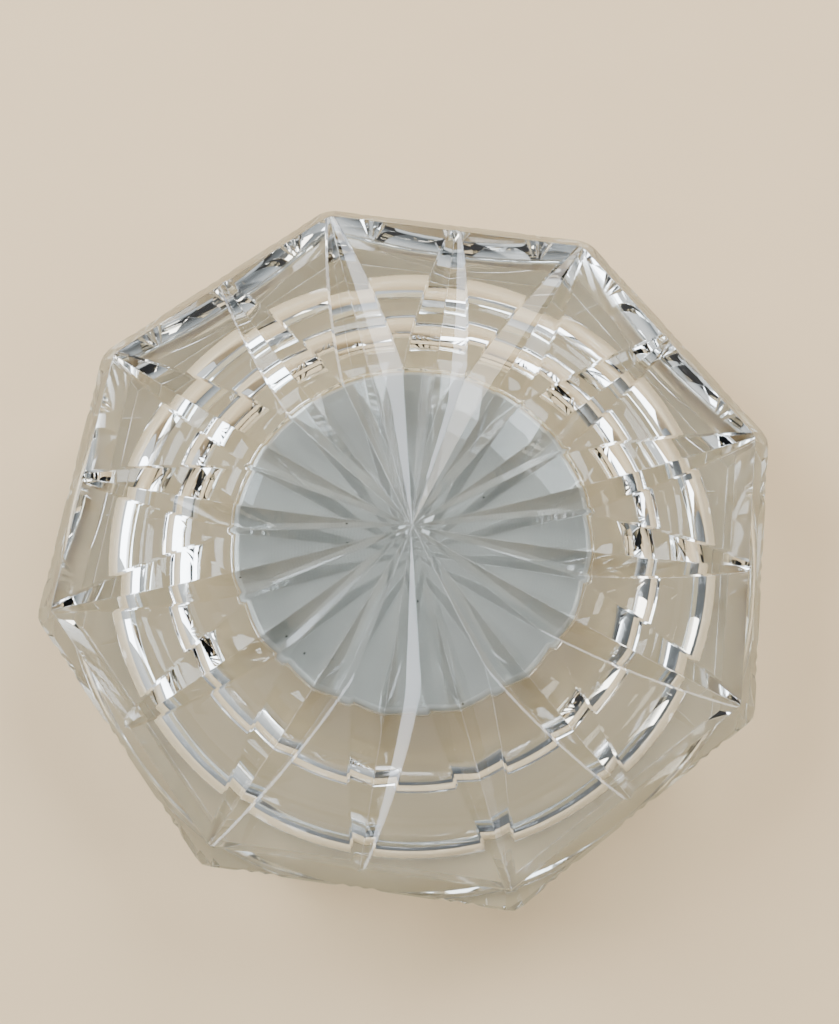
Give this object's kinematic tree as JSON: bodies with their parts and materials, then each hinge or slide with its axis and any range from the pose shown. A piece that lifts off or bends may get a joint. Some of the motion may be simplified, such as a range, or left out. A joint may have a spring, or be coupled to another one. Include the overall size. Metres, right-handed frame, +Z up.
{
  "type": "crystal award",
  "caption": "Octagonal cut-crystal presentation award lying on its rim: star-cut face up, stepped bowl underneath with a silver-plated medallion bonded to its floor.",
  "frame": {"origin": "centre of the rim face that the award rests on, at the bottom", "axes": "+Z up through the star-cut face; +Y away from the viewer, square to two of the eight flats; +X to the right"},
  "size_m": [0.14, 0.14, 0.028],
  "materials": {
    "lead_crystal": "wheel-cut and polished clear lead crystal",
    "silver_plate": "satin silver plate on a turned disc, fine concentric tool marks and light scratches",
    "clear_adhesive": "thin clear cured adhesive"
  },
  "bodies": {
    "root": {"crystal_body": "lead_crystal", "medallion": "silver_plate", "bond_film": "clear_adhesive"}
  },
  "joints": []
}
